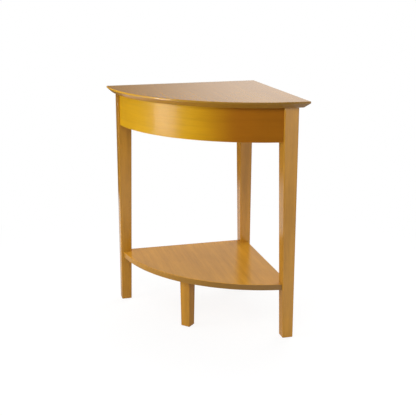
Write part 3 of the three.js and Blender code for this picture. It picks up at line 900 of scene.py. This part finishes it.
class AddFrontLeg(Operator):
    """Add the short leg under the middle of the shelf's bow"""

    bl_idname = "corner_table.add_front_leg"
    bl_label = "Front Leg"

    def execute(self, context):
        sizes = context.scene.table_sizes
        # A rounded square that widens evenly from the rounded foot to the shelf, turned by an eighth turn
        foot, top = front_leg_low.z + sizes.foot_edge, front_leg_high.z
        shrink, heights = foot_rows(sizes, front_leg_low.z)
        shrink, heights = np.append(shrink, 0), np.append(heights, top)
        rise = ((heights - foot) / (top - foot)).clip(0, 1)
        width = sizes.front_foot_width + (sizes.front_leg_width - sizes.front_foot_width) * rise
        half = width / 2 - shrink
        low = -spot(half, half)
        outline = soft_square(low, -low, leg_rounding(sizes, shrink), SHORT_REACH)
        middle = (front_leg_low + front_leg_high) / 2
        eighth = math.sqrt(0.5)
        outline = outline @ np.array([[eighth, eighth], [-eighth, eighth]]) + [middle.x, middle.y]
        finish = honey_finish("honey_front_leg", ALONG_Z, (2.3, 1.4, 1.2), 0.97, contrast=1.15)
        add_rings("short_front_leg", lifted(outline, heights), finish, ["front_leg"])
        return {"FINISHED"}


class FinishBlocks(Operator):
    """Ease the edges of the corner blocks and the cleat, and give them and the dowel their bare wood"""

    bl_idname = "corner_table.finish_blocks"
    bl_label = "Blocks and Cleat"

    def execute(self, context):
        ease = 0.0007
        eighth = math.pi / 4
        turns = {
            "left_block": -eighth, "right_block": -eighth, "back_block": eighth, "front_cleat": eighth,
        }
        for number, (node, turn) in enumerate(turns.items()):
            finish = bare_finish(f"bare_{node}", (0.0, 0.0, turn), (0.3 * number, 0.7, 0.2))
            add_eased_copy(f"eased_{node}", node, ease, finish)
        tint = context.scene.table_finishes.beech
        grain = board_grain(ALONG_Z, (0.1, 0.1, 0.1))
        paint("front_leg_dowel", get_finish("beech_dowel", wood_finish, tint, grain, gloss=(0.6, 0.75)))
        return {"FINISHED"}


def paint(node, finish):
    """Puts a finish on a solid that stays as it is."""
    materials = frame["nodes"][node].data.materials
    materials.clear()
    materials.append(finish)


def add_zinc(name, rows, sides, node, direction, looped=False):
    """A turned piece of zinc-plated steel."""
    finish = get_finish("zinc_plate", zinc_finish)
    add_turned(name, rows, sides, node, direction, finish, looped)


UP = np.array([0.0, 0.0, 1.0])

# Which way each hanger bolt points, from its leg
INWARD = {"left": (1.0, -1.0, 0.0), "right": (-1.0, 1.0, 0.0), "back": (-1.0, -1.0, 0.0)}

# Which way each kind of screw is driven, by a part of its name
SCREW_WAYS = {
    "back_apron_screw": (0.0, 1.0, 0.0),
    "side_apron_screw": (1.0, 0.0, 0.0),
    "left_block_bowed": (-1.0, 0.0, 0.0),
    "right_block_bowed": (0.0, -1.0, 0.0),
    "front_cleat_screw": (-1.0, -1.0, 0.0),
    "top_screw": (0.0, 0.0, 1.0),
}


class AddScrews(Operator):
    """Add the pan-head wood screws that hold the blocks, the cleat and the top"""

    bl_idname = "corner_table.add_screws"
    bl_label = "Screws"

    def execute(self, context):
        sides = 48
        nodes = [part["node"] for part in frame["record"]["subparts"] if "_screw" in part["node"]]
        for node in nodes:
            way = np.array(next(way for part, way in SCREW_WAYS.items() if part in node))
            _, reach = solid_axis(node, way / np.linalg.norm(way))
            tip = reach * 1000
            # From the bottom of the cross recess out over the head, then down the shank to the point
            recess = [
                (slots(0.9, 0.2, 4, sides), 1.25), (slots(1.7, 0.36, 4, sides), 0.45),
                (slots(2.0, 0.45, 4, sides), 0.19),
            ]
            shank = [
                (3.9, 2.0), (2.0, 2.0), (1.9, 2.2), (1.9, tip - 4.2), (1.3, tip - 2.4), (0.6, tip - 0.8),
                (0.1, tip),
            ]
            add_zinc(f"{node}_pan_head", recess + dome(4.0, 2.0, 2.3) + shank, sides, node, way)
        return {"FINISHED"}


class AddHangerBolts(Operator):
    """Add the hanger bolts with their washers and nuts, which draw the legs against the corner blocks"""

    bl_idname = "corner_table.add_hanger_bolts"
    bl_label = "Hanger Bolts"

    def execute(self, context):
        sides = 48
        for corner, way in INWARD.items():
            way = np.array(way) / math.sqrt(2)
            node = f"{corner}_hanger_bolt"
            _, reach = solid_axis(node, way)
            end = reach * 1000
            # From the point in the leg along the plain shank, then the thread that takes the nut
            body = [(0.15, 0.0), (1.6, 2.0), (3.4, 4.6), (4.0, 5.4), (4.0, end - 14.4), (3.3, end - 14.0)]
            ridges = thread(3.35, 3.95, 1.25, end - 13.8, end - 0.9, sides)
            tip = [(3.4, end - 0.75), (2.7, end), (2.4, end)]
            add_zinc(f"{node}_threaded", body + ridges + tip, sides, node, way)

            # Round the washer's section, from its bore
            washer = [
                (4.35, 0.15), (4.55, 0.0), (8.7, 0.0), (8.95, 0.12), (9.0, 0.4), (8.95, 1.45), (8.8, 1.6),
                (4.5, 1.6), (4.35, 1.45),
            ]
            node = f"{corner}_hanger_washer"
            add_zinc(f"{node}_eased", washer, 64, node, way, looped=True)

            # Round the nut's section, from its bore. Its corners are bevelled at 30 degrees.
            thick, flat = 6.5, 6.35
            corners = hexagon(13.0, sides)
            inner = np.minimum(corners, flat)
            bevel = (corners - flat) * math.tan(math.radians(30)) + 0.05
            nut = [
                (4.35, 0.6), (4.9, 0.0), (flat - 0.15, 0.0), (inner, 0.03), (corners, bevel),
                (corners, thick - bevel), (inner, thick - 0.03), (flat - 0.15, thick), (4.9, thick),
                (4.35, thick - 0.6),
            ]
            node = f"{corner}_hanger_nut"
            add_zinc(f"{node}_chamfered", nut, sides, node, way, looped=True)
        return {"FINISHED"}


class AddShelfBolts(Operator):
    """Add the bolts that go through the legs into the shelf, and their barrel nuts"""

    bl_idname = "corner_table.add_shelf_bolts"
    bl_label = "Shelf Bolts"

    def execute(self, context):
        sides = 72
        for corner in INWARD:
            way = np.array([-1.0, 0.0, 0.0] if corner == "right" else [0.0, -1.0, 0.0])
            node = f"{corner}_shelf_bolt"
            _, reach = solid_axis(node, way)
            end = reach * 1000
            # From the bottom of the hexagon socket out over the head, then down the shank
            socket = [(3.6, 1.75), (4.0, 1.6), (4.0, 0.2), (4.3, 0.07)]
            socket = [(hexagon(across, sides), depth) for across, depth in socket]
            shank = [(7.3, 2.4), (3.0, 2.4), (3.0, end - 0.6), (2.5, end)]
            rows = socket + dome(7.5, 2.4, 2.7, 8) + shank
            add_zinc(f"{node}_button_head", rows, sides, node, way)

            node = f"{corner}_barrel_nut"
            # From the bottom of the driver's slot out over the end face, then up to the other end
            slot = slots(4.0, 0.6, 2, sides)
            rows = [
                (slot, 1.1), (slot, 0.0), (np.maximum(slot, 4.2), 0.0), (4.6, 0.0), (4.9, 0.1), (5.0, 0.4),
                (5.0, 11.6), (4.6, 12.0),
            ]
            add_zinc(f"{node}_slotted", rows, sides, node, UP)
        return {"FINISHED"}


class AddGlides(Operator):
    """Add the nail-on glides under the four feet"""

    bl_idname = "corner_table.add_glides"
    bl_label = "Glides"

    def execute(self, context):
        finish = get_finish("brown_nylon", nylon_finish)
        for leg in ("left_leg", "right_leg", "back_leg", "front_leg"):
            node = f"{leg}_glide"
            # From the hollow under the middle out over the sole, up round the rim, then in and up the nail
            rows = [
                (1.9, 0.75), (2.3, 0.7), (2.7, 0.35), (3.0, 0.08), (3.3, 0.0), (7.7, 0.0), (8.3, 0.06),
                (8.7, 0.25), (8.95, 0.6), (9.0, 1.0), (8.9, 1.8), (8.6, 2.0), (1.2, 2.0), (1.1, 13.5),
                (0.2, 16.0),
            ]
            add_turned(f"{node}_nail_on", rows, 64, node, UP, finish)
        return {"FINISHED"}


class FinishHiddenFixings(Operator):
    """Finish the insert and the bolt inside the short leg"""

    bl_idname = "corner_table.finish_hidden_fixings"
    bl_label = "Hidden Fixings"

    def execute(self, context):
        for node in ("front_leg_insert", "front_leg_bolt"):
            paint(node, get_finish("zinc_plate", zinc_finish))
        return {"FINISHED"}


# Studio

def add_soft_box(name, energy, place, target, size):
    """A rectangular lamp at a place, facing a target. The camera doesn't see it."""
    data = bpy.data.lights.new(name, "AREA")
    data.energy = energy
    data.shape = "RECTANGLE"
    data.size, data.size_y = size
    lamp = put(name, data)
    lamp.location = place
    lamp.rotation_euler = (Vector(target) - Vector(place)).to_track_quat("-Z", "Y").to_euler()
    lamp.visible_camera = False
    return lamp


def seen(nodes):
    """1 for what the camera sees, straight or in a reflection, and 0 for light on the object."""
    path = nodes.add("ShaderNodeLightPath").outputs
    both = nodes.math("MAXIMUM", path["Is Camera Ray"], path["Is Glossy Ray"])
    return nodes.math("MAXIMUM", both, path["Is Transmission Ray"])


class AddStudio(Operator):
    """Add the floor, the soft light and the camera"""

    bl_idname = "corner_table.add_studio"
    bl_label = "Studio"

    def execute(self, context):
        self.add_floor()
        self.add_room(context)
        self.add_lamps(context)
        self.add_camera(context)
        context.scene.view_settings.view_transform = "Standard"
        return {"FINISHED"}

    def add_floor(self):
        """A disc under the table. The camera sees it fade to white outwards. Reflections see it dim under
        the table and at its left, and brighter behind it and at its front right. Matte light meets plain
        pale grey, and from below the disc is clear."""
        radius = 1.6
        outline = lifted(radius * around(angles(96))[None], [0])[0]
        mesh = bpy.data.meshes.new("studio_floor")
        mesh.from_pydata(outline.tolist(), [], [list(range(len(outline)))])
        material, nodes = new_material("studio_floor")
        here = nodes.add("ShaderNodeTexCoord").outputs["Object"]
        shown = nodes.span(nodes.vector("LENGTH", here, output="Value"), 0.55, 1.3, 1.0, 0.0, "SMOOTHSTEP")
        bright = nodes.span(shown, 0.0, 1.0, 1.0, 0.87)
        split = nodes.split(here)
        back = nodes.span(split["Y"], 0.1, 0.8, 0.22, 0.8)
        side = nodes.span(nodes.math("SUBTRACT", split["X"], split["Y"]), 0.3, 0.8, 0.22, 1.0)
        straight = nodes.add("ShaderNodeLightPath").outputs["Is Camera Ray"]
        glow = nodes.blend(straight, nodes.math("MAXIMUM", back, side), bright)
        white = nodes.add("ShaderNodeEmission", {"Strength": glow}).outputs[0]
        pale = nodes.math("MULTIPLY", shown, 0.15)
        pale = nodes.add("ShaderNodeCombineColor", {0: pale, 1: pale, 2: pale}).outputs[0]
        matte = nodes.add("ShaderNodeBsdfDiffuse", {"Color": pale}).outputs[0]
        lit = nodes.add("ShaderNodeAddShader", {0: white, 1: matte}).outputs[0]
        plain = nodes.add("ShaderNodeBsdfDiffuse", {"Color": (0.8, 0.8, 0.8, 1.0)}).outputs[0]
        both = nodes.mix_shaders(seen(nodes), plain, lit)
        under = nodes.add("ShaderNodeNewGeometry").outputs["Backfacing"]
        clear = nodes.add("ShaderNodeBsdfTransparent").outputs[0]
        surface = nodes.mix_shaders(under, both, clear)
        nodes.add("ShaderNodeOutputMaterial", {"Surface": surface})
        mesh.materials.append(material)
        floor = put("studio_floor", mesh)

    def add_room(self, context):
        """The room: white to the camera. Reflections see it white low behind the wall corner, dimmer above
        that and dim elsewhere, with a bright patch low at the front right that the right leg mirrors. Its
        matte light is stronger from above and a little stronger from the left."""
        world = bpy.data.worlds.new("studio_room")
        world.use_nodes = True
        world.node_tree.nodes.clear()
        nodes = Nodes(world.node_tree)
        path = nodes.add("ShaderNodeLightPath").outputs
        direction = nodes.add("ShaderNodeTexCoord").outputs["Generated"]
        split = nodes.split(direction)
        squares = nodes.math("POWER", split["X"], 2.0), nodes.math("POWER", split["Y"], 2.0)
        level = nodes.math("SQRT", nodes.math("ADD", *squares))

        def bearing(azimuth):
            """How closely a direction's bearing agrees with an azimuth: the cosine of the angle between."""
            aim = (math.sin(math.radians(azimuth)), math.cos(math.radians(azimuth)), 0.0)
            return nodes.math("DIVIDE", nodes.vector("DOT_PRODUCT", direction, aim, "Value"), level)

        low_glow = nodes.span(bearing(50), 0.72, 0.88, 0.16, 1.1, "SMOOTHSTEP")
        behind = nodes.span(split["Y"], -0.2, 0.5, 0.16, 0.68, "SMOOTHSTEP")
        raised = nodes.span(split["Z"], 0.2, 0.3, 0.0, 1.0, "SMOOTHSTEP")
        sunk = nodes.span(split["Z"], -0.12, -0.03, 0.3, 1.0)
        backdrop = nodes.math("MULTIPLY", nodes.blend(raised, low_glow, behind), sunk)
        front = nodes.span(bearing(150), 0.945, 0.985, 0.0, 1.25, "SMOOTHSTEP")
        front = nodes.math("MULTIPLY", front, nodes.span(split["Z"], 0.0, 0.15, 1.0, 0.0))
        lower = nodes.span(split["Z"], -0.25, -0.16, 0.8, 2.6, "SMOOTHSTEP")
        mirrored = nodes.math("MAXIMUM", backdrop, nodes.math("MULTIPLY", front, lower))
        reflected = nodes.add("ShaderNodeBackground", {"Strength": mirrored}).outputs[0]
        lean = nodes.math("ADD", nodes.vector("DOT_PRODUCT", direction, (-0.25, -0.12, 0.5), "Value"), 1.0)
        ambient = nodes.math("MULTIPLY", lean, context.scene.table_studio.ambient)
        ambient = nodes.add("ShaderNodeBackground", {"Strength": ambient}).outputs[0]
        white = {"Color": (1.0, 1.0, 1.0, 1.0), "Strength": 1.0}
        white = nodes.add("ShaderNodeBackground", white).outputs[0]
        glossy = nodes.math("MAXIMUM", path["Is Glossy Ray"], path["Is Transmission Ray"])
        shown = nodes.mix_shaders(glossy, ambient, reflected)
        shown = nodes.mix_shaders(path["Is Camera Ray"], shown, white)
        nodes.add("ShaderNodeOutputWorld", {"Surface": shown})
        context.scene.world = world

    def add_lamps(self, context):
        """The key comes twice: as matte light, unseen in reflections, and as the small glow that the apron
        and the nose mirror. The glow tilts up and shines in a narrow cone, so that low views from the
        walls' side don't mirror it."""
        studio = context.scene.table_studio
        key = add_soft_box("key_light", studio.key, (-1.75, 0.0, 0.5), (0.0, 0.0, 0.5), (0.85, 1.0))
        key.visible_glossy = False
        glow = add_soft_box("key_glow", studio.glow, (-1.75, 0.0, 0.43), (0.0, 0.0, 1.28), (0.55, 0.4))
        glow.visible_diffuse = False
        glow.data.spread = math.radians(40)
        glow.data.cycles.use_multiple_importance_sampling = False
        add_soft_box("fill_light", studio.fill, (-0.7, -2.5, 2.5), (0.0, 0.0, 0.4), (2.2, 1.2))
        add_soft_box("overhead_light", studio.overhead, (0.3, 0.6, 2.3), (0.1, 0.1, 0.6), (1.2, 1.2))
        rear = add_soft_box("rear_light", studio.rear, (1.9, 1.5, 1.5), (0.0, 0.0, 0.4), (1.6, 1.2))
        rear.visible_glossy = False

    def add_camera(self, context):
        """The camera stands a little left of the table's front and looks down at it. Its lens and shift
        are the focal length and the middle of the view in pixels, over the picture's width."""
        picture, focal, middle = 416, 791.03, (178.44, 178.88)
        yaw, pitch, roll = (math.radians(angle) for angle in (13.2215, 14.1579, 0.4499))
        right = np.array([math.cos(yaw), -math.sin(yaw), 0.0])
        forward = np.array(
            [math.sin(yaw) * math.cos(pitch), math.cos(yaw) * math.cos(pitch), -math.sin(pitch)]
        )
        down = np.cross(forward, right)
        turned_right = math.cos(roll) * right + math.sin(roll) * down
        turned_down = math.cos(roll) * down - math.sin(roll) * right
        data = bpy.data.cameras.new("camera")
        data.sensor_width = 36.0
        data.lens = focal / picture * data.sensor_width
        data.shift_x = (picture / 2 - middle[0]) / picture
        data.shift_y = (middle[1] - picture / 2) / picture
        camera = put("camera", data)
        axes = Matrix((turned_right, -turned_down, -forward)).transposed()
        camera.matrix_world = Matrix.Translation((-0.62226, -2.33516, 1.07346)) @ axes.to_4x4()
        context.scene.camera = camera


class TablePanel(Panel):
    """Shows the table's sizes, finishes, light and pieces in the sidebar"""

    bl_idname = "VIEW3D_PT_corner_table"
    bl_label = "Corner Table"
    bl_space_type = "VIEW_3D"
    bl_region_type = "UI"
    bl_category = "Corner Table"

    def draw(self, context):
        layout = self.layout
        for group in (context.scene.table_sizes, context.scene.table_finishes, context.scene.table_studio):
            box = layout.box()
            for name in group.__annotations__:
                box.prop(group, name)
        column = layout.column(align=True)
        for operator in operators:
            column.operator(operator.bl_idname)


operators = (
    AddTop, AddLongLegs, AddBowedApron, AddStraightAprons, AddShelf, AddFrontLeg, FinishBlocks, AddScrews,
    AddHangerBolts, AddShelfBolts, AddGlides, FinishHiddenFixings, AddStudio,
)
groups = {"table_sizes": TableSizes, "table_finishes": TableFinishes, "table_studio": TableStudio}
classes = (*groups.values(), *operators, TablePanel)


def register():
    for cls in classes:
        bpy.utils.register_class(cls)
    for name, group in groups.items():
        setattr(bpy.types.Scene, name, PointerProperty(type=group))


def unregister():
    for name in groups:
        delattr(bpy.types.Scene, name)
    for cls in reversed(classes):
        bpy.utils.unregister_class(cls)


def main():
    register()
    bpy.ops.corner_table.add_top()
    bpy.ops.corner_table.add_long_legs()
    bpy.ops.corner_table.add_bowed_apron()
    bpy.ops.corner_table.add_straight_aprons()
    bpy.ops.corner_table.add_shelf()
    bpy.ops.corner_table.add_front_leg()
    bpy.ops.corner_table.finish_blocks()
    bpy.ops.corner_table.add_screws()
    bpy.ops.corner_table.add_hanger_bolts()
    bpy.ops.corner_table.add_shelf_bolts()
    bpy.ops.corner_table.add_glides()
    bpy.ops.corner_table.finish_hidden_fixings()
    bpy.ops.corner_table.add_studio()


if __name__ == "__main__":
    main()
